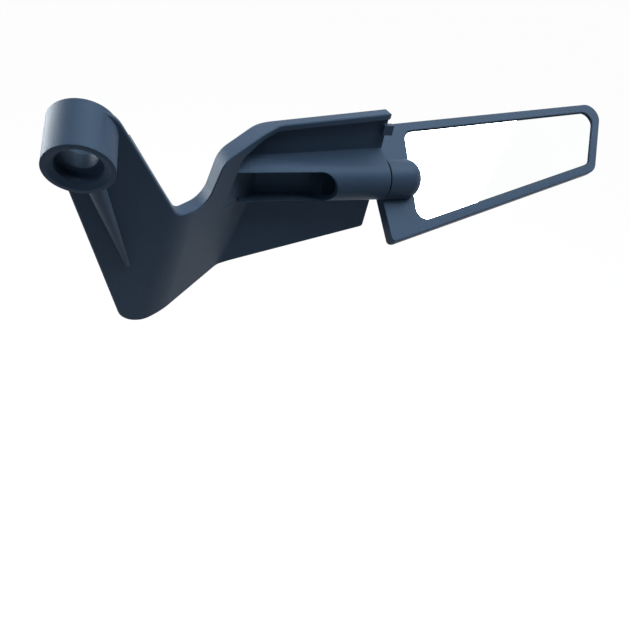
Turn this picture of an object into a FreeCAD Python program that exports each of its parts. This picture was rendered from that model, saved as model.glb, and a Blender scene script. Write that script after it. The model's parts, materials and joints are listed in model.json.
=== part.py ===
import FreeCAD, Part
import math
import os

V = FreeCAD.Vector

# A wing mirror for a motorcycle: a cast bracket with a mounting boss, and a
# blade that carries the glass and turns about a hinge at the bracket's end.
# All lengths are in millimetres and all angles in degrees.
# The origin is where the mounting bolt's head seats in the boss. The shapes are
# drawn about the hinge axis, with x = 0 at the seam between bracket and blade,
# +X to the blade's tip, +Y to the front, +Z up, and are then moved into place.

# Place of the hinge axis at the seam, seen from the bolt seat
seam_x = 129.75
hinge_y = 34.5
hinge_z = -31.1

# Blade and bracket share the front face and the top of the seam
front_y = 9.0
seam_top_z = 29.5
seam_bottom_z = -28.4
seam_gap = 0.6
seam_top_radius = 2.2
seam_bottom_radius = 2.5

# Thickness of the bracket's three panels at its lowest and its highest level
root_thick_low = 1.0
root_thick_high = 6.8
band_thick_low = 2.1
band_thick_high = 10.9
arm_thick_low = 2.4
arm_thick_high = 7.8
front_edge_radius = 1.0
back_edge_chamfer = 0.5

# Wing root of the bracket
root_skin = 2.4
root_top_angle = 7.7
root_top_length = 60.0
root_top_radius = 30.0
root_bottom_angle = 14.1
root_bottom_length = 66.0
root_bottom_radius = 60.0
rim_width = 2.6
rim_end_radius = 3.0
recess_wall = 9.5
recess_corner_radius = 5.0
recess_bend_radius = 20.0

# Sloping band between wing root and arm
fold_x = -63.6
fold_lean = 13.0
band_slope = 37.0
fold_radius = 16.0
fold_inner_radius = 5.0
dish_radius = 26.0

# Arm
arm_y = -7.1
arm_yaw = 6.6
arm_lean = 8.5
arm_foot_x = -115.5
arm_foot_radius = 10.0
foot_angle = 18.3
arm_head_radius = 11.2
arm_head_shift_x = 2.55
arm_head_shift_z = -0.7

# Notch between the arm and the wing root
notch_bottom_z = -2.6
notch_left_x = -96.8
notch_right_x = -84.0
notch_left_radius = 5.0
notch_right_radius = 8.0
notch_corner_x = -78.6
notch_corner_z = 15.8
notch_corner_radius = 8.0

# Mounting boss: its axis leans against the arm
boss_lean = 23.5
boss_yaw = 10.5
boss_diameter = 21.4
boss_front = 7.0
boss_back = 11.0
bolt_hole = 10.5
head_pocket = 17.5
seat_recess = 14.4
seat_recess_depth = 5.2
seat_dish = 18.4
seat_dish_depth = 1.5
facet_margin = 4.0

# Rib from the boss down the back of the arm
rib_start_radius = 3.1
rib_end_radius = 0.9
rib_end_x = -114.8
rib_end_z = -24.0
rib_turn = -12.0
rib_margin = 0.3
rib_sink = 2.0

# Hinge barrel on the bracket, and its slot for the key
barrel_radius = 9.0
flank_root_seam = 12.2
flank_root_far = 7.6
barrel_length = 67.0
barrel_end_radius = 12.0
slot_bottom_z = -8.6
slot_top_z = 6.4
slot_end_x = -25.6
slot_floor_y = 5.6
slot_ramp_x = -58.5
slot_ramp_length = 10.0

# Stop tab at the seam
tab_length = 2.4
tab_thick = 2.6
tab_bottom_z = 19.0
tab_height = 4.4
tab_front_y = 7.0
tab_side_gap = 0.7
tab_lift_gap = 1.4
tab_front_gap = 0.4

# Blade
blade_thick = 5.5
blade_drop = 1.5
blade_top_angle = 7.2
blade_bottom_angle = 14.6
tip_angle = 26.7
tip_x = 138.6
tip_top_radius = 7.5
tip_bottom_radius = 9.0
blade_front_radius = 2.2
blade_back_radius = 0.7
knuckle_radius = 9.0
knuckle_length = 18.1
knuckle_end_radius = 6.5

# Glass, its pocket and the adhesive sheet
frame_width = 4.6
glass_left_x = 18.45
glass_left_angle = 5.5
glass_corner_radius = 5.5
glass_recess = 0.9
glass_thick = 1.8
tape_thick = 0.4
glass_gap = 0.2
glass_seat_gap = 0.05
tape_inset = 2.0

# Pivot screw and what sits under its head
screw_diameter = 6.0
screw_head_diameter = 10.0
screw_head_height = 6.0
screw_length = 30.0
screw_key = 5.0
screw_key_depth = 3.0
screw_run_gap = 0.08
thread_gap = 0.02
barrel_web = 12.0
spring_pocket = 13.2
washer_diameter = 12.0
washer_thick = 1.0
spring_diameter = 12.0
spring_thick = 0.6
spring_cone = 0.35
spring_count = 2
hole_gap = 0.2
friction_diameter = 16.0
friction_thick = 0.5
axial_gap = 0.03

# Turn of the blade at rest, seen from the closed place level with the bracket
rest_turn = -55.0

# Far and near reach of cutting shapes past the solid, a hair of room, and the
# shares along Y of a face's normal that make it a wall, or a front or back
past = 40.0
over = 1.0
hair = 0.05
wall_share = 0.05
facing_share = 0.5


def tan(angle):
    return math.tan(math.radians(angle))


def cos(angle):
    return math.cos(math.radians(angle))


def sin(angle):
    return math.sin(math.radians(angle))


def rounded_wire(points, radii):
    """Closed wire through the points, each corner rounded by a tangent arc."""
    count = len(points)
    starts = []
    ends = []
    middles = []
    for i in range(count):
        here = points[i]
        before = (points[i - 1] - here).normalize()
        after = (points[(i + 1) % count] - here).normalize()
        half = before.getAngle(after) / 2
        radius = radii[i]
        reach = radius / math.tan(half)
        bisector = (before + after).normalize()
        centre = here + bisector * (radius / math.sin(half))
        starts.append(here + before * reach)
        ends.append(here + after * reach)
        middles.append(centre - bisector * radius)
    edges = []
    for i in range(count):
        following = (i + 1) % count
        if radii[i] > 0:
            edges.append(Part.Arc(starts[i], middles[i], ends[i]).toShape())
        edges.append(Part.LineSegment(ends[i], starts[following]).toShape())
    return Part.Wire(edges)


def crossing(a, u, b, v):
    """Point where the plan line a + s u meets the plan line b + t v."""
    across = u.x * v.y - u.y * v.x
    s = ((b.x - a.x) * v.y - (b.y - a.y) * v.x) / across
    return a + u * s


def touching(point, centre, radius, side):
    """Direction from the point that just touches the circle on its left (1) or right (-1)."""
    run = centre - point
    angle = math.atan2(run.y, run.x) + side * math.asin(radius / run.Length)
    return V(math.cos(angle), math.sin(angle), 0)


def front_prism(corners, low_y, high_y):
    """Outline in the XZ plane, given as (x, z, corner radius), carried along Y."""
    points = [V(x, low_y, z) for x, z, radius in corners]
    face = Part.Face(rounded_wire(points, [radius for x, z, radius in corners]))
    return face.extrude(V(0, high_y - low_y, 0))


def flat_sided(low, high):
    """Solid between two level anticlockwise polygons whose matching sides lie in one plane."""
    outlines = [low[::-1], high]
    for i in range(len(low)):
        outlines.append([low[i - 1], low[i], high[i], high[i - 1]])
    faces = [Part.Face(Part.makePolygon(outline + outline[:1])) for outline in outlines]
    shell = Part.makeShell(faces)
    shell.sewShape()
    return Part.makeSolid(shell)


def round_edge(solid, start, end, radius):
    """Round the edge that runs between the two points."""
    middle = (start + end) / 2
    return solid.makeFillet(radius, edges_on(solid, lambda p, edge: p.distanceToPoint(middle) < hair))


def edges_on(shape, test):
    """Edges whose middle point passes the test."""
    found = []
    for edge in shape.Edges:
        middle = edge.valueAt((edge.FirstParameter + edge.LastParameter) / 2)
        if test(middle, edge):
            found.append(edge)
    return found


def rod(start, direction, radius, length):
    return Part.makeCylinder(radius, length, start, direction)


def along_x(radius, low_x, high_x):
    return rod(V(low_x, 0, 0), V(1, 0, 0), radius, high_x - low_x)


# Directions of the mounting boss and of the bracket's panels
boss_axis = V(sin(boss_yaw) * cos(boss_lean), cos(boss_yaw) * cos(boss_lean), sin(boss_lean))
bolt_seat = V(-seam_x, -hinge_y, -hinge_z)
boss_flush = bolt_seat + boss_axis * boss_front
boss_end = bolt_seat - boss_axis * boss_back
along_root = V(-1, 0, 0)
along_band = V(-cos(band_slope), -sin(band_slope), 0)
along_arm = V(-cos(arm_yaw), -sin(arm_yaw), 0)
back_of_band = V(sin(band_slope), -cos(band_slope), 0)
back_of_arm = V(sin(arm_yaw), -cos(arm_yaw), 0)

# Corners of the bracket's front outline that others depend on
root_bend_z = seam_bottom_z - root_bottom_length * tan(root_bottom_angle)
foot_z = root_bend_z + (arm_foot_x + root_bottom_length) * tan(foot_angle)
head_x = bolt_seat.x + arm_head_shift_x
head_z = bolt_seat.z + arm_head_shift_z
head_top_z = head_z + arm_head_radius
lowest_z = foot_z - over
highest_z = head_top_z + over


def thickness(low, high, z):
    """Panel thickness at that level, even from the lowest to the highest level."""
    return low + (high - low) * (z - lowest_z) / (highest_z - lowest_z)


def fold_at(z):
    return V(fold_x + z * tan(fold_lean), front_y, 0)


def plate_section(z):
    """Corners of the bent plate at that level: wing root, sloping band and arm."""
    seam = V(past / 2, front_y, 0)
    fold = fold_at(z)
    arm_point = V(0, arm_y - z * tan(arm_lean), 0)
    far = V(-seam_x - boss_diameter - past, 0, 0)
    dish = crossing(fold, along_band, arm_point, along_arm)
    arm_end = crossing(arm_point, along_arm, far, V(0, 1, 0))
    seam_back = seam - V(0, thickness(root_thick_low, root_thick_high, z), 0)
    band_back = fold + back_of_band * thickness(band_thick_low, band_thick_high, z)
    arm_back = arm_point + back_of_arm * thickness(arm_thick_low, arm_thick_high, z)
    fold_back = crossing(seam_back, along_root, band_back, along_band)
    dish_back = crossing(band_back, along_band, arm_back, along_arm)
    arm_end_back = crossing(arm_back, along_arm, far, V(0, 1, 0))
    points = [seam, fold, dish, arm_end, arm_end_back, dish_back, fold_back, seam_back]
    return [p + V(0, 0, z) for p in points]


def bracket_outline():
    """Front outline of the bracket as (x, z, corner radius), carried past the seam."""
    head = V(head_x, head_z, 0)
    foot = V(arm_foot_x, foot_z, 0)
    notch_left = V(notch_left_x, notch_bottom_z, 0)
    outer = touching(foot, head, arm_head_radius, 1)
    inner = touching(notch_left, head, arm_head_radius, -1)
    apex = crossing(foot, outer, notch_left, inner)
    end_x = past / 4
    return [
        (end_x, seam_top_z + end_x * tan(root_top_angle), 0),
        (-root_top_length, seam_top_z - root_top_length * tan(root_top_angle), root_top_radius),
        (notch_corner_x, notch_corner_z, notch_corner_radius),
        (notch_right_x, notch_bottom_z, notch_right_radius),
        (notch_left_x, notch_bottom_z, notch_left_radius),
        (apex.x, apex.y, arm_head_radius),
        (arm_foot_x, foot_z, arm_foot_radius),
        (-root_bottom_length, root_bend_z, root_bottom_radius),
        (end_x, seam_bottom_z + end_x * tan(root_bottom_angle), 0),
    ]


def bent_plate():
    """Plate with flat panels, its four folds rounded, cut to the outline."""
    low = plate_section(lowest_z)
    high = plate_section(highest_z)
    slab = flat_sided(low, high)
    fold_radii = [0, fold_radius, dish_radius, 0, 0, dish_radius, fold_inner_radius, 0]
    for start, end, radius in zip(low, high, fold_radii):
        if radius > 0:
            slab = round_edge(slab, start, end, radius)
    return slab.common(front_prism(bracket_outline(), -past * 2, past))


def normal_at(face, point):
    u, v = face.Surface.parameter(point)
    return face.normalAt(u, v)


def rims(plate, facing):
    """Edges where the outline's walls meet the front (1) or the back (-1) of the plate."""
    found = []
    for edge in plate.Edges:
        middle = edge.valueAt((edge.FirstParameter + edge.LastParameter) / 2)
        turns = sorted(normal_at(face, middle).y * facing for face in plate.ancestorsOfType(edge, Part.Face))
        if middle.x < past / 4 - over and abs(turns[0]) < wall_share and turns[-1] > facing_share:
            found.append(edge)
    return found


def seam_trim():
    """Everything left of the seam, with both corners of the seam rounded."""
    top = seam_top_z + hair
    bottom = seam_bottom_z - hair
    far = -seam_x - past * 2
    corners = [
        (0, top, seam_top_radius),
        (-past, top - past * tan(root_top_angle), 0),
        (-past, past * 2, 0),
        (far, past * 2, 0),
        (far, -past * 3, 0),
        (-past, -past * 3, 0),
        (-past, bottom - past * tan(root_bottom_angle), 0),
        (0, bottom, seam_bottom_radius),
    ]
    return front_prism(corners, -past * 2, past)


def softened_plate():
    """The bent plate, round at the front rim and chamfered at the back, ended at the seam."""
    plate = bent_plate()
    plate = plate.makeFillet(front_edge_radius, rims(plate, 1))
    plate = plate.makeChamfer(back_edge_chamfer, rims(plate, -1))
    return plate.common(seam_trim())


def boss_solid():
    return rod(boss_end, boss_axis, boss_diameter / 2, boss_front + boss_back)


def boss_holes():
    """Bolt hole, pocket for the bolt head, and the recess in the seat."""
    below = boss_end - boss_axis * over
    hole = rod(below, boss_axis, bolt_hole / 2, boss_back + boss_front + past)
    pocket = rod(bolt_seat, boss_axis, head_pocket / 2, boss_front + past)
    recess = rod(below, boss_axis, seat_recess / 2, seat_recess_depth + over)
    dish = Part.makeCone(seat_dish / 2, seat_recess / 2, seat_dish_depth, boss_end, boss_axis)
    return hole.fuse([pocket, recess, dish])


def rib_section(crest, out, side, radius, depth):
    """U-shaped section: a round crest on straight flanks of that depth."""
    left = crest - side * radius
    right = crest + side * radius
    low_left = left - out * depth
    low_right = right - out * depth
    edges = [
        Part.Arc(left, crest + out * radius, right).toShape(),
        Part.LineSegment(right, low_right).toShape(),
        Part.LineSegment(low_right, low_left).toShape(),
        Part.LineSegment(low_left, left).toShape(),
    ]
    return Part.Wire(edges)


def rib_solid():
    """Tapered web from the rim of the boss down to the back of the arm."""
    back = V(tan(arm_yaw), -1, -tan(arm_lean)).normalize()
    arm_back_y = arm_y + rib_end_x * tan(arm_yaw) - rib_end_z * tan(arm_lean)
    arm_back_y = arm_back_y - thickness(arm_thick_low, arm_thick_high, rib_end_z)
    tail = V(rib_end_x, arm_back_y, rib_end_z)
    downhill = tail - boss_end
    downhill = downhill - boss_axis * downhill.dot(boss_axis)
    downhill = FreeCAD.Rotation(boss_axis, rib_turn).multVec(downhill.normalize())
    start = boss_end + downhill * (boss_diameter / 2 - rib_start_radius)
    start = start + boss_axis * (rib_start_radius + rib_margin)
    along = (tail - start).normalize()
    out = (back - along * back.dot(along)).normalize()
    side = along.cross(out)
    start_depth = (start - tail).dot(back) + rib_sink
    sections = [
        rib_section(start, out, side, rib_start_radius, start_depth),
        rib_section(tail, out, side, rib_end_radius, rib_sink),
    ]
    return Part.makeLoft(sections, True, True)


def barrel_section(x, flank_root_z):
    """Section of the barrel: round behind, with a flat flank up to the skin."""
    root_y = front_y - root_skin
    reach = math.hypot(root_y, flank_root_z)
    angle = math.atan2(flank_root_z, root_y) + math.acos(barrel_radius / reach)
    touch = V(x, barrel_radius * math.cos(angle), barrel_radius * math.sin(angle))
    low = V(x, 0, -barrel_radius)
    low_root = V(x, root_y, -barrel_radius)
    flank_root = V(x, root_y, flank_root_z)
    mid_angle = (angle + 1.5 * math.pi) / 2
    mid = V(x, barrel_radius * math.cos(mid_angle), barrel_radius * math.sin(mid_angle))
    edges = [
        Part.LineSegment(flank_root, touch).toShape(),
        Part.Arc(touch, mid, low).toShape(),
        Part.LineSegment(low, low_root).toShape(),
        Part.LineSegment(low_root, flank_root).toShape(),
    ]
    return Part.Wire(edges)


def barrel_solid():
    """Barrel with its flank, the far end rounded down to the skin."""
    far_x = -barrel_length
    sections = [barrel_section(far_x, flank_root_far), barrel_section(0, flank_root_seam)]
    barrel = Part.makeLoft(sections, True, True)
    high = flank_root_seam + over
    low = -barrel_radius - over
    corners = [(over, low, 0), (over, high, 0), (far_x, high, barrel_end_radius), (far_x, low, 0)]
    return barrel.common(front_prism(corners, -past, past))


def hollow_section(z):
    """Plan corners of the space behind the skin of the wing root and the band."""
    skin_back = V(over, front_y - root_skin, 0)
    band_skin = fold_at(z) + back_of_band * root_skin
    bend = crossing(skin_back, along_root, band_skin, along_band)
    far = bend + along_band * past
    points = [skin_back, bend, far, V(far.x, -past, 0), V(over, -past, 0)]
    return [p + V(0, 0, z) for p in points]


def rim_recess():
    """Recess behind the skin, inside the top rim and above the barrel."""
    low = hollow_section(-past)
    high = hollow_section(past)
    hollow = round_edge(flat_sided(low, high), low[1], high[1], fold_radius - root_skin)
    top_slope = tan(root_top_angle)
    top_seam = seam_top_z - rim_width / cos(root_top_angle)
    corners = [
        (over, -barrel_radius, 0),
        (over, top_seam + over * top_slope, 0),
        (-root_top_length, top_seam - root_top_length * top_slope, recess_bend_radius),
        (notch_corner_x + recess_wall, notch_corner_z - rim_width, recess_corner_radius),
        (notch_right_x + recess_wall, -barrel_radius, 0),
    ]
    return hollow.common(front_prism(corners, -past, past))


def rim_end_cut():
    """What the rounding of the rim's back corner at the seam takes away."""
    back_y = front_y - thickness(root_thick_low, root_thick_high, seam_top_z)
    low_z = (seam_top_z + flank_root_seam) / 2
    reach = rim_end_radius + over
    block = Part.makeBox(reach, reach, past, V(-rim_end_radius, back_y - over, low_z))
    centre = V(-rim_end_radius, back_y + rim_end_radius, low_z - over)
    return block.cut(rod(centre, V(0, 0, 1), rim_end_radius, past + over * 2))


def key_slot():
    """Slot for the screw and its key: round at the screw, ramped at the far end."""
    width = slot_top_z - slot_bottom_z
    middle_z = (slot_top_z + slot_bottom_z) / 2
    centre_x = slot_end_x - width / 2
    end = rod(V(centre_x, -past, middle_z), V(0, 1, 0), width / 2, past + slot_floor_y)
    ramp_end_y = slot_floor_y - slot_ramp_length * tan(band_slope)
    far_x = slot_ramp_x - slot_ramp_length
    plan = [(centre_x, -past), (centre_x, slot_floor_y), (slot_ramp_x, slot_floor_y),
            (far_x, ramp_end_y), (far_x, -past)]
    points = [V(x, y, slot_bottom_z) for x, y in plan]
    run = Part.Face(Part.makePolygon(points + points[:1])).extrude(V(0, 0, width))
    return end.fuse(run)


def hinge_bores():
    shank = along_x(screw_diameter / 2 + screw_run_gap, slot_end_x - over, over)
    pocket = along_x(spring_pocket / 2, slot_end_x - spring_pocket / 2, -barrel_web)
    return shank.fuse(pocket)


def stop_tab():
    low = V(-root_skin, tab_front_y - tab_thick, tab_bottom_z)
    return Part.makeBox(root_skin + tab_length, tab_thick, tab_height, low)


def bracket():
    """The casting: bent plate, boss and rib, then recess, barrel, tab and holes."""
    facet = rod(boss_flush, boss_axis, boss_diameter / 2 + facet_margin, past)
    casting = softened_plate().cut(facet).fuse([boss_solid(), rib_solid()])
    casting = casting.cut(rim_recess().fuse(rim_end_cut()))
    casting = casting.fuse([barrel_solid(), stop_tab()])
    return casting.cut(boss_holes().fuse([key_slot(), hinge_bores()])).removeSplitter()


def blade_outline(root_x):
    """Corners of the blade's front outline, from the lower root round to the upper."""
    tip_slope = tan(tip_angle)
    bottom = tan(blade_bottom_angle)
    top = tan(blade_top_angle)
    low_z = seam_bottom_z - blade_drop
    tip_z = low_z + tip_x * bottom
    rise = seam_top_z + tip_x * top - tip_z
    height = rise / (1 - tip_slope * top)
    return [
        (root_x, low_z + root_x * bottom),
        (tip_x, tip_z),
        (tip_x + height * tip_slope, tip_z + height),
        (root_x, seam_top_z + root_x * top),
    ]


def blade_prism(root_x, root_radius, grown):
    """Blade outline carried through the blade's thickness, drawn out by that much."""
    radii = [root_radius, tip_bottom_radius, tip_top_radius, root_radius]
    (x0, z0), (x1, z1), (x2, z2), (x3, z3) = blade_outline(root_x)
    corners = [(x0, z0 - grown), (x1 + grown, z1 - grown), (x2 + grown, z2 + grown), (x3, z3 + grown)]
    rounded = [(x, z, radius) for (x, z), radius in zip(corners, radii)]
    return front_prism(rounded, blade_back_y - grown, front_y + grown)


def glass_outline(inset):
    """Outline inside the blade's frame, drawn in by the inset all round."""
    lines = []
    corners = [V(x, z, 0) for x, z in blade_outline(seam_gap)]
    for i in range(3):
        along = (corners[i + 1] - corners[i]).normalize()
        inward = V(-along.y, along.x, 0)
        lines.append((corners[i] + inward * (frame_width + inset), along))
    left_along = V(sin(glass_left_angle), cos(glass_left_angle), 0)
    lines.append((V(glass_left_x + inset / cos(glass_left_angle), 0, 0), left_along))
    points = []
    for i in range(4):
        corner = crossing(lines[i - 1][0], lines[i - 1][1], lines[i][0], lines[i][1])
        points.append((corner.x, corner.y, glass_corner_radius - inset))
    return points


def glass_layer(inset, low_y, high_y):
    return front_prism(glass_outline(inset), low_y, high_y)


# Levels of the blade and of what lies in its pocket
blade_back_y = front_y - blade_thick
glass_back_y = blade_back_y + glass_recess
tape_back_y = glass_back_y + glass_thick + glass_seat_gap
pocket_floor_y = tape_back_y + tape_thick + glass_seat_gap


def knuckle_solid():
    """Round knuckle with a domed end, sunk into the blade."""
    end_x = seam_gap + knuckle_length
    shaft = along_x(knuckle_radius, seam_gap, end_x)
    rim = edges_on(shaft, lambda middle, edge: middle.x > end_x - hair and edge.Length > over)
    shaft = shaft.makeFillet(knuckle_end_radius, rim)
    sunk_y = blade_back_y + blade_thick / 2
    behind = Part.makeBox(end_x * 2, past, past * 2, V(-over, sunk_y - past, -past))
    return shaft.common(behind)


def tab_room():
    """Room in the blade's root for the stop tab as the blade swings."""
    length = tab_length + tab_side_gap + over
    height = tab_height + tab_side_gap + tab_lift_gap
    low = V(-over, tab_front_y + tab_front_gap - past, tab_bottom_z - tab_side_gap)
    return Part.makeBox(length, past, height, low)


def wing_blade():
    """The blade: rims rounded on a longer blank, ended at the seam, then knuckle and pocket."""
    blank = blade_prism(-past, 0, 0)
    front_rims = edges_on(blank, lambda p, edge: p.y > front_y - hair and p.x > hair - past)
    blank = blank.makeFillet(blade_front_radius, front_rims)
    back_rims = edges_on(blank, lambda p, edge: p.y < blade_back_y + hair and p.x > hair - past)
    blank = blank.makeFillet(blade_back_radius, back_rims)
    knuckle = knuckle_solid()
    blade = blank.common(blade_prism(seam_gap, seam_bottom_radius, hair)).fuse(knuckle)
    pocket = glass_layer(0, blade_back_y - over, pocket_floor_y).cut(knuckle)
    thread_end = screw_tip_x + screw_key_depth / 2
    thread = along_x(screw_diameter / 2 + thread_gap, 0, thread_end)
    return blade.cut(pocket.fuse([tab_room(), thread])).removeSplitter()


# Stack along the hinge axis, from the barrel's web to the screw head
washer_x = -barrel_web - axial_gap
spring_x = washer_x - washer_thick - axial_gap
spring_pitch = spring_thick + spring_cone + axial_gap
head_seat_x = spring_x - spring_count * spring_pitch
screw_tip_x = head_seat_x + screw_length


def pivot_bolt():
    """Socket-head screw with its hexagon for the key."""
    head_end_x = head_seat_x - screw_head_height
    shank = along_x(screw_diameter / 2, head_seat_x, screw_tip_x)
    head = along_x(screw_head_diameter / 2, head_end_x, head_seat_x)
    key_radius = screw_key / 2 / cos(30)
    corners = [V(head_end_x, key_radius * cos(60 * k), key_radius * sin(60 * k)) for k in range(7)]
    key = Part.Face(Part.makePolygon(corners)).extrude(V(screw_key_depth, 0, 0))
    return head.fuse(shank).cut(key).removeSplitter()


def ring(outer, inner, low_x, high_x):
    return along_x(outer / 2, low_x, high_x).cut(along_x(inner / 2, low_x - over, high_x + over))


def head_washer():
    return ring(washer_diameter, screw_diameter + 2 * hole_gap, washer_x - washer_thick, washer_x)


def disc_spring(high_x):
    """One disc spring: a shallow cone ring, its rim towards the washer."""
    inner = screw_diameter / 2 + hole_gap
    outer = spring_diameter / 2
    profile = [
        V(high_x - spring_cone, inner, 0),
        V(high_x, outer, 0),
        V(high_x - spring_thick, outer, 0),
        V(high_x - spring_cone - spring_thick, inner, 0),
    ]
    face = Part.Face(Part.makePolygon(profile + profile[:1]))
    return face.revolve(V(0, 0, 0), V(1, 0, 0), 360)


def disc_springs():
    rings = [disc_spring(spring_x - k * spring_pitch) for k in range(spring_count)]
    return Part.makeCompound(rings)


def friction_washer():
    low_x = (seam_gap - friction_thick) / 2
    return ring(friction_diameter, screw_diameter + 2 * hole_gap, low_x, low_x + friction_thick)


fixed_pieces = {"bracket": bracket}
turning_pieces = {
    "wing_blade": wing_blade,
    "mirror_glass": lambda: glass_layer(glass_gap, glass_back_y, glass_back_y + glass_thick),
    "glass_tape": lambda: glass_layer(tape_inset, tape_back_y, tape_back_y + tape_thick),
    "pivot_bolt": pivot_bolt,
    "head_washer": head_washer,
    "disc_springs": disc_springs,
    "friction_washer": friction_washer,
}

os.makedirs("parts", exist_ok=True)
for name, make in {**fixed_pieces, **turning_pieces}.items():
    shape = make()
    if name in turning_pieces:
        shape.rotate(V(0, 0, 0), V(1, 0, 0), rest_turn)
    shape.translate(V(seam_x, hinge_y, hinge_z))
    shape.exportStep(f"parts/{name}.step")
    box = shape.BoundBox
    size = f"{box.XLength:.1f} x {box.YLength:.1f} x {box.ZLength:.1f} mm"
    print(name, shape.isValid(), len(shape.Solids), f"{shape.Volume:.1f} mm3", size)
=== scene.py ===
# %% [markdown]
# # A wing mirror for a motorcycle
# The real mirror is a cast bracket, bolted to the fairing through a round boss,
# and a flat blade that carries the glass and swings on a hinge in the bracket.
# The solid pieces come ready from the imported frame, in metres. This lesson gives
# them their finish, replaces two pieces whose small forms matter up close, and
# adds a small web of the casting that the solids lack.

# %% Load the frame
import json
import math
import bpy
import numpy as np
from mathutils import Matrix, Vector


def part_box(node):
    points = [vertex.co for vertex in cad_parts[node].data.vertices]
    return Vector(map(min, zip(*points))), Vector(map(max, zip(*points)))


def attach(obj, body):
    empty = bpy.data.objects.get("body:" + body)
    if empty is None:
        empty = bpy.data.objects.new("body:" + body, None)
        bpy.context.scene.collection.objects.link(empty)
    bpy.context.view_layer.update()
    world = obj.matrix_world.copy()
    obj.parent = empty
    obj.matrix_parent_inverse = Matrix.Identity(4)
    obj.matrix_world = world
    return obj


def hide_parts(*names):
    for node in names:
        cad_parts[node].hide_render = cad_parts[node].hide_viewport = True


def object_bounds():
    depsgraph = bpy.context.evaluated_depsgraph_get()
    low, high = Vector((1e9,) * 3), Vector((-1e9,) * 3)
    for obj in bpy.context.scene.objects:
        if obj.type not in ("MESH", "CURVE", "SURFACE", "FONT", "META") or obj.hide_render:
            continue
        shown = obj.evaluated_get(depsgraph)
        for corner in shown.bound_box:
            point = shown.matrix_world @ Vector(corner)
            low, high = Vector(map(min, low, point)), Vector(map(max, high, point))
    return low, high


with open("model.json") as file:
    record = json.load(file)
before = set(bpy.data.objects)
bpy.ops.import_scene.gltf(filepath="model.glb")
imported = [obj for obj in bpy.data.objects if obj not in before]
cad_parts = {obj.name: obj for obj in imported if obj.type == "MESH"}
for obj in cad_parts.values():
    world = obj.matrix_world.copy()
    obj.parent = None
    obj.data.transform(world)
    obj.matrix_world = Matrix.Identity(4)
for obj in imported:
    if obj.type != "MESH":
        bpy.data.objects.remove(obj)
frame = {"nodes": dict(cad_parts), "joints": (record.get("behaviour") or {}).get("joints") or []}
nodes = frame["nodes"]
cad_low, cad_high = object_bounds()
hinge = frame["joints"][0]
hinge_place = np.array(hinge["pos_m"])
scene = bpy.context.scene
print("nodes:", sorted(nodes), "hinge at", hinge_place)

# %% [markdown]
# ## The camera
# The view is from behind and above, close enough that the boss looks larger than
# the far tip of the blade. A camera can be pointed at a target with a constraint,
# but this picture is also rolled, so its three axes are worked out instead: the
# back axis from azimuth and elevation, and the other two turned about it.

# %% Camera from its place and three angles
camera_place = (-0.01212, -0.18679, 0.08341)
camera_azimuth = -29.262
camera_elevation = 37.343
camera_roll = 12.839
lens_mm = 34.59
sensor_mm = 36.0
nearest_view = 0.01


def camera_matrix(place, azimuth, elevation, roll):
    """Camera axes: back from azimuth and elevation, right level, then both turned by the roll."""
    a, e, r = np.radians([azimuth, elevation, roll])
    back = np.array([np.sin(a) * np.cos(e), -np.cos(a) * np.cos(e), np.sin(e)])
    level = np.cross(-back, [0, 0, 1])
    level = level / np.linalg.norm(level)
    above = np.cross(back, level)
    right = level * np.cos(r) + above * np.sin(r)
    up = above * np.cos(r) - level * np.sin(r)
    matrix = np.eye(4)
    matrix[:3, :3] = np.stack([right, up, back], axis=1)
    matrix[:3, 3] = place
    return Matrix(matrix.tolist())


camera_data = bpy.data.cameras.new("camera")
camera_data.lens = lens_mm
camera_data.sensor_width = sensor_mm
camera_data.clip_start = nearest_view
camera = bpy.data.objects.new("camera", camera_data)
camera.matrix_world = camera_matrix(camera_place, camera_azimuth, camera_elevation, camera_roll)
scene.collection.objects.link(camera)
scene.camera = camera
print("camera at", camera_place, "lens", lens_mm, "mm")

# %% [markdown]
# ## Small helpers for node trees
# Every finish below is a tree of shader nodes. Writing one by hand takes a line to
# make each node and a line for each wire. So a helper adds a node and sets or wires
# its sockets, by name or, where names repeat, by number. Short functions on top of
# it name what the trees below do most: mix two things, or compare two values.

# %% Node helpers


def put(tree, socket, value):
    """Wires a socket to another node's output, or sets its own value."""
    if isinstance(value, bpy.types.NodeSocket):
        tree.links.new(value, socket)
    else:
        socket.default_value = value


def add_node(tree, kind, settings=None, numbered=None, **named):
    """A node of that kind with its settings, and with what goes into its numbered and named sockets."""
    made = tree.nodes.new(kind)
    for key, value in (settings or {}).items():
        setattr(made, key, value)
    for key, value in (numbered or {}).items():
        put(tree, made.inputs[key], value)
    for key, value in named.items():
        put(tree, made.inputs[key.replace("_", " ")], value)
    return made


def calculate(tree, operation, first, second):
    """Two values through a Math node."""
    return add_node(tree, "ShaderNodeMath", {"operation": operation}, {0: first, 1: second}).outputs[0]


def blend_values(tree, share, first, second):
    """First value where the share is 0, second where it is 1."""
    return add_node(tree, "ShaderNodeMix", None, {0: share, 2: first, 3: second}).outputs[0]


def blend_colours(tree, share, first, second):
    """First colour where the share is 0, second where it is 1."""
    colours = {0: share, 6: first, 7: second}
    return add_node(tree, "ShaderNodeMix", {"data_type": "RGBA"}, colours).outputs[2]


def blend_shaders(tree, share, first, second):
    """First shader where the share is 0, second where it is 1."""
    return add_node(tree, "ShaderNodeMixShader", None, {0: share, 1: first, 2: second}).outputs[0]


def between(tree, value, low, high):
    """Value from 0..1 spread over low..high."""
    return add_node(tree, "ShaderNodeMapRange", Value=value, To_Min=low, To_Max=high).outputs["Result"]


def place_on_piece(tree):
    """Object coordinates, so that a pattern stays with the piece."""
    return add_node(tree, "ShaderNodeTexCoord").outputs["Object"]


print("node helpers ready")

# %% [markdown]
# ## Materials and shared groups
# A material starts with its own Principled shader, which stays in the material. A
# pattern that several finishes share is a group with named sockets, so that it is
# built once and each finish sets its own amounts.

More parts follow.
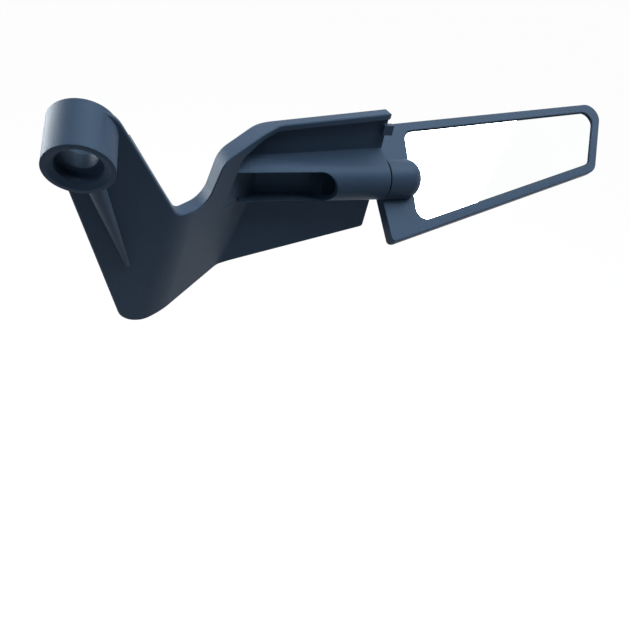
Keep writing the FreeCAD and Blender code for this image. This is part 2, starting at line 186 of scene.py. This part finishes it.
# %% Material and group helpers


def new_material(name):
    """An empty material with its Principled shader and its tree."""
    material = bpy.data.materials.new(name)
    material.use_nodes = True
    tree = material.node_tree
    return material, tree, tree.nodes["Principled BSDF"]


def new_group(name, inputs, outputs):
    """A shader node group. Inputs are name: default value, and outputs are names of values."""
    group = bpy.data.node_groups.new(name, "ShaderNodeTree")
    for key, value in inputs.items():
        socket = group.interface.new_socket(key, in_out="INPUT", socket_type="NodeSocketFloat")
        socket.default_value = value
    for key in outputs:
        group.interface.new_socket(key, in_out="OUTPUT", socket_type="NodeSocketFloat")
    start = group.nodes.new("NodeGroupInput")
    end = group.nodes.new("NodeGroupOutput")
    return group, start.outputs, end.inputs


print("material helpers ready")

# %% [markdown]
# ## White surroundings
# Product pictures are taken on white. The world is white where the camera looks at
# it or sees it mirrored, and a dim cool grey where it lights the piece. One bright
# world for both would be simpler, but it would wash out the dark coat.

# %% World
white = (1.0, 1.0, 1.0, 1.0)
ambient_colour = (0.60, 0.80, 1.0, 1.0)
ambient_strength = 0.045


def seen_directly(tree):
    """1 for rays from the camera, mirrored rays and rays through glass, and 0 for the rest."""
    path = add_node(tree, "ShaderNodeLightPath").outputs
    mirrored = calculate(tree, "MAXIMUM", path["Is Camera Ray"], path["Is Glossy Ray"])
    return calculate(tree, "MAXIMUM", mirrored, path["Is Transmission Ray"])


world = bpy.data.worlds.new("white surroundings")
world.use_nodes = True
scene.world = world
sky = world.node_tree
sky.nodes.clear()
dim = add_node(sky, "ShaderNodeBackground", Color=ambient_colour, Strength=ambient_strength).outputs[0]
bright = add_node(sky, "ShaderNodeBackground", Color=white, Strength=1.0).outputs[0]
add_node(sky, "ShaderNodeOutputWorld", Surface=blend_shaders(sky, seen_directly(sky), dim, bright))
print("world lights the piece with strength", ambient_strength)

# %% [markdown]
# ## A pale floor
# The floor lies well below the mirror. A pale floor alone turns grey in dim light, so
# most of it glows white for the rays that see it directly. The rest is matt paint with
# faint clouds, and that share keeps the soft shadow.

# %% Floor
floor_drop = 0.30
floor_half = 4.0
floor_tone = 0.36
floor_tone_spread = 0.02
floor_clouds_per_metre = 3.0
floor_roughness = 0.9
floor_white_share = 0.90
floor_glow = 1.08


def floor_paint():
    """Pale matt paint, mixed with a white glow for the rays that see it directly."""
    material, tree, shader = new_material("floor paint")
    clouds = add_node(tree, "ShaderNodeTexNoise", Vector=place_on_piece(tree), Scale=floor_clouds_per_metre,
                      Detail=2.0).outputs["Fac"]
    tone = between(tree, clouds, floor_tone - floor_tone_spread, floor_tone + floor_tone_spread)
    grey = add_node(tree, "ShaderNodeCombineColor", Red=tone, Green=tone, Blue=tone).outputs[0]
    tree.links.new(grey, shader.inputs["Base Color"])
    shader.inputs["Roughness"].default_value = floor_roughness
    glow = add_node(tree, "ShaderNodeEmission", Color=white, Strength=floor_glow).outputs[0]
    share = calculate(tree, "MULTIPLY", seen_directly(tree), floor_white_share)
    mixed = blend_shaders(tree, share, shader.outputs[0], glow)
    tree.links.new(mixed, tree.nodes["Material Output"].inputs["Surface"])
    return material


floor_z = cad_low.z - floor_drop
unit_square = np.array([(-1, -1, 0), (1, -1, 0), (1, 1, 0), (-1, 1, 0)])
floor_mesh = bpy.data.meshes.new("floor")
floor_mesh.from_pydata((unit_square * floor_half + [0, 0, floor_z]).tolist(), [], [(0, 1, 2, 3)])
floor_mesh.materials.append(floor_paint())
floor = bpy.data.objects.new("floor", floor_mesh)
scene.collection.objects.link(floor)
print("floor at z", round(floor_z, 3))

# %% [markdown]
# ## Lamps
# A large soft lamp hangs overhead and makes every face that looks up pale, while the
# faces that look back at the camera stay dark. A second one on the far side grazes the
# top rim and the boss, a tall one low on the left draws the bright side of the boss,
# and a weak cool fill from the near left keeps the arm from going black. One bright
# world could light the mirror too, but soft lamps give each face its own tone.

# %% Lamps
cool_white = (0.92, 0.97, 1.0)
fill_blue = (0.70, 0.86, 1.0)
lamps = {
    "overhead": dict(place=(0.44, -0.10, 0.70), size=(0.7, 0.5), power=9.2, colour=cool_white),
    "back key": dict(place=(0.15, 0.33, 0.66), size=(0.5, 0.35), power=2.8, colour=cool_white),
    "front left": dict(place=(-0.33, 0.50, 0.06), size=(0.3, 0.5), power=5.4, colour=cool_white),
    "left fill": dict(place=(-0.35, -0.25, 0.10), size=(0.2, 0.2), power=0.35, colour=fill_blue),
}


def add_lamp(name, target, place, size, power, colour):
    """A rectangular lamp at a place, pointed at the target and hidden from the camera."""
    data = bpy.data.lights.new(name, "AREA")
    data.shape = "RECTANGLE"
    data.size = size[0]
    data.size_y = size[1]
    data.energy = power
    data.color = colour
    item = bpy.data.objects.new(name, data)
    item.location = place
    item.rotation_mode = "QUATERNION"
    item.rotation_quaternion = (target - Vector(place)).to_track_quat("-Z", "Y")
    item.visible_camera = False
    scene.collection.objects.link(item)


part_centre = (cad_low + cad_high) / 2
for name, lamp in lamps.items():
    add_lamp(name, part_centre, **lamp)
print("lamps:", list(lamps))

# %% [markdown]
# ## The coat's grain, shared by bracket and blade
# Both castings are sprayed with a satin blue-black coat. Up close it is not smooth:
# it has a fine pebbled skin and faint clouds where it lies thicker. An image could
# show that, but noise worked out from the place on the piece never runs out of
# detail. The same group serves both pieces, each with its own size of pebble.

# %% Grain group
pebble_share_of_tone = 0.35
speck_share_of_height = 0.4

grain_group, given, result = new_group(
    "coat grain", {"Pebbles per metre": 2600.0, "Clouds per metre": 28.0}, ["Tone", "Satin", "Height"])
place = place_on_piece(grain_group)
fine = given["Pebbles per metre"]
coarse = given["Clouds per metre"]
pebbles = add_node(grain_group, "ShaderNodeTexNoise", Vector=place, Scale=fine, Detail=2.0).outputs["Fac"]
clouds = add_node(grain_group, "ShaderNodeTexNoise", Vector=place, Scale=coarse, Detail=4.0,
                  Roughness=0.6).outputs["Fac"]
specks = add_node(grain_group, "ShaderNodeTexVoronoi", Vector=place, Scale=fine).outputs["Distance"]
grain_group.links.new(blend_values(grain_group, pebble_share_of_tone, clouds, pebbles), result["Tone"])
grain_group.links.new(clouds, result["Satin"])
grain_group.links.new(blend_values(grain_group, speck_share_of_height, pebbles, specks), result["Height"])
print("group:", grain_group.name)

# %% [markdown]
# ## Satin coat
# The coat is a thin dark film. Most of what the eye sees is its own blue-black, so the
# gloss is weak, broad and tinted cool. The grain moves colour, gloss and height. A real
# coat also flows over sharp corners, so the shading normal is rounded at the edges over
# half a millimetre, which draws the thin light line along each rim.

# %% Coat materials
coat_dark = (0.020, 0.034, 0.060, 1.0)
coat_pale = (0.043, 0.069, 0.109, 1.0)
coat_gloss_level = 0.12
coat_gloss_tint = (0.46, 0.72, 1.0, 1.0)
satin_spread = 0.05
edge_softness = 0.0005
edge_samples = 6
pebble_height = 0.00008


def satin_coat(name, satin, bump_strength, pebbles):
    """Blue-black coat: the tone mixes dark and pale, clouds spread the gloss, pebbles lift the skin."""
    material, tree, shader = new_material(name)
    grain = add_node(tree, "ShaderNodeGroup", {"node_tree": grain_group}, Pebbles_per_metre=pebbles).outputs
    tree.links.new(blend_colours(tree, grain["Tone"], coat_dark, coat_pale), shader.inputs["Base Color"])
    gloss = between(tree, grain["Satin"], satin - satin_spread, satin + satin_spread)
    tree.links.new(gloss, shader.inputs["Roughness"])
    soft_edge = add_node(tree, "ShaderNodeBevel", {"samples": edge_samples}, Radius=edge_softness)
    bump = add_node(tree, "ShaderNodeBump", Strength=bump_strength, Distance=pebble_height,
                    Height=grain["Height"], Normal=soft_edge.outputs[0])
    tree.links.new(bump.outputs[0], shader.inputs["Normal"])
    shader.inputs["Specular IOR Level"].default_value = coat_gloss_level
    shader.inputs["Specular Tint"].default_value = coat_gloss_tint
    return material


finishes = {
    "bracket": satin_coat("coat on the bracket", satin=0.48, bump_strength=0.8, pebbles=1500.0),
    "wing_blade": satin_coat("coat on the blade", satin=0.44, bump_strength=0.7, pebbles=1700.0),
}
print("coats:", [finish.name for finish in finishes.values()])

# %% [markdown]
# ## Turning marks, shared by screw, washer and springs
# Turned and rolled steel carries fine rings about its axis. A wave texture would give
# even stripes. Noise read along the distance from the hinge axis, with a share of the
# place along it, gives rings that vary like real tool marks.

# %% Ring group
along_share = 0.6
smears_per_metre = 160.0
smear_share_of_tone = 0.45

ring_group, given, result = new_group("turning rings", {"Rings per metre": 5000.0}, ["Tone", "Height"])
place = place_on_piece(ring_group)
centred = add_node(ring_group, "ShaderNodeMapping", Vector=place, Location=tuple(-hinge_place)).outputs[0]
parts = add_node(ring_group, "ShaderNodeSeparateXYZ", Vector=centred).outputs
flat = add_node(ring_group, "ShaderNodeCombineXYZ", Y=parts["Y"], Z=parts["Z"]).outputs[0]
radius = add_node(ring_group, "ShaderNodeVectorMath", {"operation": "LENGTH"}, {0: flat}).outputs["Value"]
spiral = add_node(ring_group, "ShaderNodeMath", {"operation": "MULTIPLY_ADD"},
                  {0: parts["X"], 1: along_share, 2: radius}).outputs[0]
rings = add_node(ring_group, "ShaderNodeTexNoise", {"noise_dimensions": "1D"}, W=spiral,
                 Scale=given["Rings per metre"], Detail=3.0).outputs["Fac"]
smears = add_node(ring_group, "ShaderNodeTexNoise", Vector=place, Scale=smears_per_metre,
                  Detail=3.0).outputs["Fac"]
ring_group.links.new(blend_values(ring_group, smear_share_of_tone, rings, smears), result["Tone"])
ring_group.links.new(rings, result["Height"])
print("group:", ring_group.name)

# %% [markdown]
# ## Steels
# The screw is black oxide, the washer zinc plated and the springs phosphated. All are
# metal, so they differ only in how dark they are, how rough and how finely turned: one
# function makes all three.

# %% Steel materials
steel_gloss_spread = 0.1
ring_strength = 0.25
ring_height = 0.00003


def turned_steel(name, dark, pale, rough, rings_per_metre):
    """Steel: the ring tone mixes dark and pale and spreads the gloss, and the rings lift the skin."""
    material, tree, shader = new_material(name)
    marks = add_node(tree, "ShaderNodeGroup", {"node_tree": ring_group},
                     Rings_per_metre=rings_per_metre).outputs
    tree.links.new(blend_colours(tree, marks["Tone"], dark, pale), shader.inputs["Base Color"])
    gloss = between(tree, marks["Tone"], rough - steel_gloss_spread, rough + steel_gloss_spread)
    tree.links.new(gloss, shader.inputs["Roughness"])
    bump = add_node(tree, "ShaderNodeBump", Strength=ring_strength, Distance=ring_height,
                    Height=marks["Height"])
    tree.links.new(bump.outputs[0], shader.inputs["Normal"])
    shader.inputs["Metallic"].default_value = 1.0
    return material


steels = {
    "pivot_bolt": turned_steel(
        "black oxide screw", dark=(0.030, 0.032, 0.036, 1), pale=(0.085, 0.088, 0.094, 1),
        rough=0.38, rings_per_metre=4200.0),
    "head_washer": turned_steel(
        "plated washer", dark=(0.42, 0.43, 0.44, 1), pale=(0.62, 0.63, 0.64, 1),
        rough=0.30, rings_per_metre=5200.0),
    "disc_springs": turned_steel(
        "spring steel", dark=(0.20, 0.19, 0.18, 1), pale=(0.36, 0.35, 0.34, 1),
        rough=0.34, rings_per_metre=3600.0),
}
finishes.update(steels)
print("steels:", [finish.name for finish in steels.values()])

# %% [markdown]
# ## Nylon and adhesive
# The washer in the hinge gap is black nylon with a faint flow pattern, and the glass
# is held by a sheet of dark foam tape with open cells. Neither shows much, but the
# hinge can be swung and the glass lifted off, so both are finished too. A pattern of
# cells serves both: shallow and wide on the nylon, deep and small on the foam.

# %% Nylon washer and foam tape
plastic_gloss_spread = 0.08
cell_height = 0.0001


def soft_plastic(name, dark, pale, rough, cells_per_metre, bump_strength):
    """Plastic whose cells, from a Voronoi pattern, move colour, gloss and height."""
    material, tree, shader = new_material(name)
    cells = add_node(tree, "ShaderNodeTexVoronoi", Vector=place_on_piece(tree),
                     Scale=cells_per_metre).outputs["Distance"]
    tree.links.new(blend_colours(tree, cells, dark, pale), shader.inputs["Base Color"])
    gloss = between(tree, cells, rough - plastic_gloss_spread, rough + plastic_gloss_spread)
    tree.links.new(gloss, shader.inputs["Roughness"])
    bump = add_node(tree, "ShaderNodeBump", Strength=bump_strength, Distance=cell_height, Height=cells)
    tree.links.new(bump.outputs[0], shader.inputs["Normal"])
    return material


plastics = {
    "friction_washer": soft_plastic(
        "black nylon", dark=(0.028, 0.028, 0.032, 1), pale=(0.055, 0.055, 0.060, 1),
        rough=0.45, cells_per_metre=700.0, bump_strength=0.15),
    "glass_tape": soft_plastic(
        "foam tape", dark=(0.010, 0.010, 0.011, 1), pale=(0.035, 0.035, 0.037, 1),
        rough=0.85, cells_per_metre=1500.0, bump_strength=0.5),
}
finishes.update(plastics)
print("plastics:", [finish.name for finish in plastics.values()])

# %% [markdown]
# ## Silvered glass
# A mirror is a sheet of glass with silver behind it. For a picture it is enough to
# treat the face as polished metal, a touch green-blue as float glass is, while the
# ground rim is rough grey. The rim is told apart by a value stored on the mesh.

# %% Mirror material
film_per_metre = 22.0
film_dark = (0.965, 0.985, 0.985, 1.0)
film_pale = (0.99, 0.995, 1.0, 1.0)
grit_per_metre = 3000.0
grit_dark = (0.16, 0.20, 0.20, 1.0)
grit_pale = (0.34, 0.40, 0.40, 1.0)
polished_roughness = 0.015
ground_roughness = 0.55


def silvered_glass():
    """Polished where the stored value is 0, with a faint film, and ground where it is 1, with fine grit."""
    material, tree, shader = new_material("silvered glass")
    ground = add_node(tree, "ShaderNodeAttribute", {"attribute_name": "ground"}).outputs["Fac"]
    place = place_on_piece(tree)
    film = add_node(tree, "ShaderNodeTexNoise", Vector=place, Scale=film_per_metre,
                    Detail=3.0).outputs["Fac"]
    grit = add_node(tree, "ShaderNodeTexNoise", Vector=place, Scale=grit_per_metre).outputs["Fac"]
    face_colour = blend_colours(tree, film, film_dark, film_pale)
    rim_colour = blend_colours(tree, grit, grit_dark, grit_pale)
    tree.links.new(blend_colours(tree, ground, face_colour, rim_colour), shader.inputs["Base Color"])
    gloss = between(tree, ground, polished_roughness, ground_roughness)
    tree.links.new(gloss, shader.inputs["Roughness"])
    shader.inputs["Metallic"].default_value = 1.0
    return material


mirror_finish = silvered_glass()
print("mirror:", mirror_finish.name)

# %% [markdown]
# ## Smooth faces on the solids
# The frame's solids come as loose flat triangles. Welding their corners and shading
# them smooth, split again where two faces meet at a clear angle, shows the true
# round faces and keeps the edges crisp.

# %% Shade the carried-over solids
crease_angle = math.radians(28)
weld_distance = 1e-6


def crease(item):
    """Smooth shading, split at the edges that are sharper than the crease angle."""
    item.data.polygons.foreach_set("use_smooth", np.ones(len(item.data.polygons), bool))
    split = item.modifiers.new("crease", "EDGE_SPLIT")
    split.split_angle = crease_angle


def weld_and_crease(item):
    """Loose corners welded, then smooth shading with crisp edges."""
    weld = item.modifiers.new("weld", "WELD")
    weld.merge_threshold = weld_distance
    crease(item)


for name, finish in finishes.items():
    nodes[name].data.materials.clear()
    nodes[name].data.materials.append(finish)
    weld_and_crease(nodes[name])
print("finished nodes:", sorted(finishes))

# %% [markdown]
# ## Helpers for new pieces
# The new pieces below are all tubes: a closed ring of points, carried through several
# places and capped at both ends. So one helper numbers the faces of any tube, as whole
# arrays, and one puts the rings into a mesh that rides on a body.

# %% Piece helpers


def tube_faces(rings, count):
    """
    Quads between neighbouring rings of count points, and a cap on the first and last ring.
    Point k of ring r has the number r * count + k. The faces point outwards where the rings
    run clockwise, seen from the end of their path.
    """
    ring, spot = np.meshgrid(np.arange(rings - 1), np.arange(count), indexing="ij")
    after = (spot + 1) % count
    near = ring * count
    far = near + count
    quads = np.stack([far + spot, far + after, near + after, near + spot], axis=-1).reshape(-1, 4)
    first_cap = np.arange(count)
    last_cap = (rings - 1) * count + np.arange(count)[::-1]
    return quads.tolist() + [first_cap.tolist(), last_cap.tolist()]


def new_piece(name, rings, body, finish):
    """A mesh object from rings of points, an array of rings x points x 3, riding on a body."""
    mesh = bpy.data.meshes.new(name)
    mesh.from_pydata(rings.reshape(-1, 3).tolist(), [], tube_faces(*rings.shape[:2]))
    mesh.validate()
    mesh.materials.append(finish)
    piece = bpy.data.objects.new(name, mesh)
    scene.collection.objects.link(piece)
    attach(piece, body)
    return piece


print("piece helpers ready")

# %% [markdown]
# ## The glass with its ground rim
# The cut edge of a mirror is ground to a small bevel, or it would chip and cut. A
# bevel modifier could do it, but the rim also needs its own value for the material.
# So the outline is read from the solid, put in order round its middle, and a bevel
# profile is carried along it.

# %% Outline of the glass
outline_points = 240
level_slack = 1e-5
closed_turn = math.radians(hinge["range_deg"][1])
across = np.array([0, math.sin(closed_turn), math.cos(closed_turn)])
outward = np.array([0, -math.cos(closed_turn), math.sin(closed_turn)])


def node_points(name):
    """All corner points of a solid, as an array."""
    data = nodes[name].data
    flat = np.empty(len(data.vertices) * 3, np.float32)
    data.vertices.foreach_get("co", flat)
    return flat.reshape(-1, 3).astype(float)


def convex_outline(points, count):
    """Plan points sorted by angle about the middle, then count places spaced evenly along that loop."""
    middle = (points.min(0) + points.max(0)) / 2
    order = np.argsort(np.arctan2(points[:, 1] - middle[1], points[:, 0] - middle[0]))
    loop = np.vstack([points[order], points[order][:1]])
    steps = np.linalg.norm(np.diff(loop, axis=0), axis=1)
    loop = loop[np.concatenate([[True], steps > weld_distance])]
    length = np.concatenate([[0], np.cumsum(np.linalg.norm(np.diff(loop, axis=0), axis=1))])
    spots = np.linspace(0, length[-1], count, endpoint=False)
    return np.stack([np.interp(spots, length, loop[:, 0]), np.interp(spots, length, loop[:, 1])], axis=1)


from_hinge = node_points("mirror_glass") - hinge_place
plan = np.stack([from_hinge[:, 0], from_hinge @ across], axis=1)
depth = from_hinge @ outward
face_level = depth.max()
back_level = depth.min()
outline = convex_outline(plan[depth > face_level - level_slack], outline_points)
print("glass outline points:", len(outline), "thickness mm:", round((face_level - back_level) * 1000, 2))

# %% [markdown]
# ### The bevel carried along the outline
# Four rings make the sheet: the face's edge, the two edges of the upright rim and the
# back's edge. The two caps are the polished faces, so only they get the value 0.

# %% Glass piece
glass_bevel = 0.0004


def bevelled_sheet(outline):
    """Ring by ring, each outline point moved inwards by the ring's inset and out by its level."""
    tangent = np.roll(outline, -1, axis=0) - np.roll(outline, 1, axis=0)
    inward = np.stack([-tangent[:, 1], tangent[:, 0]], axis=1) / np.linalg.norm(tangent, axis=1)[:, None]
    inset = np.array([glass_bevel, 0, 0, glass_bevel])[:, None, None]
    level = np.array([face_level, face_level - glass_bevel, back_level + glass_bevel, back_level])
    rings = outline + inward * inset
    along = rings[..., :1] * np.array([1, 0, 0]) + rings[..., 1:] * across
    return hinge_place + along + level[:, None, None] * outward


glass = new_piece("ground_edge_glass", bevelled_sheet(outline), "wing", mirror_finish)
ground_value = np.ones(len(glass.data.polygons), np.float32)
ground_value[-2:] = 0
glass.data.attributes.new("ground", "FLOAT", "FACE").data.foreach_set("value", ground_value)
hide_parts("mirror_glass")
print("glass faces:", len(glass.data.polygons))

# %% [markdown]
# ## The pivot screw with knurl and thread
# The blade is held by a socket-head cap screw, reached with a key through the slot
# in the bracket. Its head is knurled and its shank threaded. Both could be cut with
# tools, but they are one surface: rings about the axis whose radius also depends on
# the angle, straight teeth on the head and a helix on the shank.

# %% Screw sizes, from the solid and the usual proportions of such screws
thread_pitch = 0.001
thread_depth = 0.00055
thread_rings = 150
knurl_teeth = 48
knurl_depth = 0.00018
knurl_rings = 6
chamfer = 0.0005
centre_share = 0.02
around = 288

screw_low, screw_high = (np.array(corner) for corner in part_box("pivot_bolt"))
head_start = screw_low[0]
tip = screw_high[0]
head_radius = (screw_high[1] - screw_low[1]) / 2
shank_radius = 0.6 * head_radius
plain_length = 2 * shank_radius
head_height = 1.2 * head_radius
head_end = head_start + head_height
key_half = 0.5 * head_radius
key_depth = 0.5 * head_height
print("screw head mm:", round(head_radius * 2000, 2), "shank mm:", round(shank_radius * 2000, 2))

# %% [markdown]
# ### The radius at each place and angle
# Each function below gives the radius of one form. The angle counts down, so that the
# rings run clockwise seen from the tip and the faces point outwards.

# %% Screw surface
angle = np.linspace(2 * np.pi, 0, around, endpoint=False)


def hexagon(half):
    """Radius of a hexagon with that half width across flats: half / cos(angle from the flat's middle)."""
    return half / np.cos(np.mod(angle, np.pi / 3) - np.pi / 6)


def threaded_shank():
    """
    Rings of the right-hand thread: radius R - d |2 w - 1|, where w is the fraction that is left of
    x / pitch - angle / full turn. The depth grows from 0 over the first pitch.
    """
    x = np.linspace(head_end + plain_length, tip - chamfer, thread_rings)
    run = (x - head_end)[:, None]
    wave = np.mod(run / thread_pitch - angle / (2 * np.pi), 1)
    grow = np.minimum(1, (run - plain_length) / thread_pitch)
    return x, shank_radius - grow * thread_depth * np.abs(2 * wave - 1)


def screw_surface():
    """
    Ring by ring, out of the hexagon socket, over the head and down the shank: x along the axis,
    y = r cos a and z = r sin a. The knurl is r = R - d (1 + cos(teeth * a)) / 2, and a small cap
    closes each end.
    """
    circle = np.ones(around)
    key = hexagon(key_half)
    head_edge = circle * (head_radius - chamfer)
    head_side = circle * head_radius - knurl_depth
    knurl = head_radius - knurl_depth * (0.5 + 0.5 * np.cos(knurl_teeth * angle))
    knurl_x = np.linspace(head_start + 1.5 * chamfer, head_end - 1.5 * chamfer, knurl_rings)
    thread_x, thread = threaded_shank()
    socket_floor = head_start + key_depth
    x = np.concatenate([
        [socket_floor, socket_floor, head_start + chamfer / 2],
        [head_start, head_start, head_start + chamfer],
        knurl_x,
        [head_end - chamfer, head_end, head_end],
        thread_x,
        [tip, tip]])
    radius = np.vstack([
        key * centre_share, key, key,
        key + chamfer / 2, head_edge, head_side,
        np.tile(knurl, (knurl_rings, 1)),
        head_side, head_edge, circle * shank_radius,
        thread,
        circle * (shank_radius - thread_depth), circle * shank_radius * centre_share])
    y = hinge_place[1] + radius * np.cos(angle)
    z = hinge_place[2] + radius * np.sin(angle)
    return np.stack([x[:, None] + 0 * radius, y, z], axis=-1)


screw_rings = screw_surface()
print("screw rings:", len(screw_rings))

# %% Screw piece
screw = new_piece("socket_head_screw", screw_rings, "wing", finishes["pivot_bolt"])
crease(screw)
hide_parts("pivot_bolt")
print("screw faces:", len(screw.data.polygons))

# %% [markdown]
# ## The web where the key slot runs out
# On the casting the slot for the key ends in a long ramp that dies out in the sloping
# band, and the barrel's upper lip runs down to the same tip, so no crevice is left.
# The solids stop at the barrel's end. The web could be sculpted, but it is made of two
# plain surfaces, the ramp's plane and the barrel's cylinder, so one upright profile of
# both is carried from the band into the barrel. The ramp, the band and the skin at the
# back share one slope in plan. Each is given by a place on it, x and y at the hinge's
# height, and by how far it leans as the height grows.

# %% Web sizes in millimetres, from the hinge's place
mm = 0.001
band_slope = math.tan(math.radians(37.0))
ramp_foot = (-58.5, 5.6)
web_left = -75.6
web_right = -63.5
web_low = -8.9
lip_level = 6.4
lip_radius = 8.97
lip_run = 12.2
band_mark = (-76.0, -9.5)
band_lean = -0.275
skin_mark = (-70.0, 1.2)
skin_lean = -0.175
sunk = 0.03
rooted = 0.8


def leaning_plane(mark, lean, x, z):
    """Plane along the band through a mark in plan: y grows by the slope with x and by the lean with z."""
    return mark[1] + band_slope * (x - mark[0]) + lean * z


print("web from x", web_left, "to", web_right)

# %% Web piece


def slot_web(stations=24, upright=24, corner=16):
    """
    Upright profile at each x. Up to the lip it is the ramp's plane, kept in front of the band's plane.
    Above, it is the barrel's circle, y = -r cos a and z = r sin a, whose height fades to the left
    as a quarter ellipse, sqrt(1 - (x / run)^2). It closes along the skin.
    """
    x = np.linspace(web_left, web_right, stations)[:, None]
    low = np.linspace(web_low, lip_level, upright)[None, :]
    ramp = leaning_plane(ramp_foot, 0.0, x, low)
    band = leaning_plane(band_mark, band_lean, x, low)
    lip_angle = np.linspace(math.asin(lip_level / lip_radius), np.pi / 2, corner)[None, :]
    fade = np.sqrt(1 - ((x - web_right) / lip_run) ** 2)
    high = lip_level + (lip_radius * np.sin(lip_angle) - lip_level) * fade
    skin = leaning_plane(skin_mark, skin_lean, x, high) + rooted
    lip = np.minimum(-lip_radius * np.cos(lip_angle), skin)
    foot = web_low + 0 * x
    skin_foot = leaning_plane(skin_mark, skin_lean, x, foot) + rooted
    y = np.hstack([np.maximum(ramp, band) + sunk, lip, skin[:, -1:], skin_foot])
    z = np.hstack([low + 0 * x, high, high[:, -1:], foot])
    return np.stack([x + 0 * y, y, z], axis=-1)


web_rings = hinge_place + slot_web() * mm
web = new_piece("slot_end_web", web_rings, "bracket", finishes["bracket"])
weld_and_crease(web)
print("web faces:", len(web.data.polygons))

# %% [markdown]
# ## Standard colours
# Standard colours keep a tone as it is written.

# %% Standard colours
scene.view_settings.view_transform = "Standard"
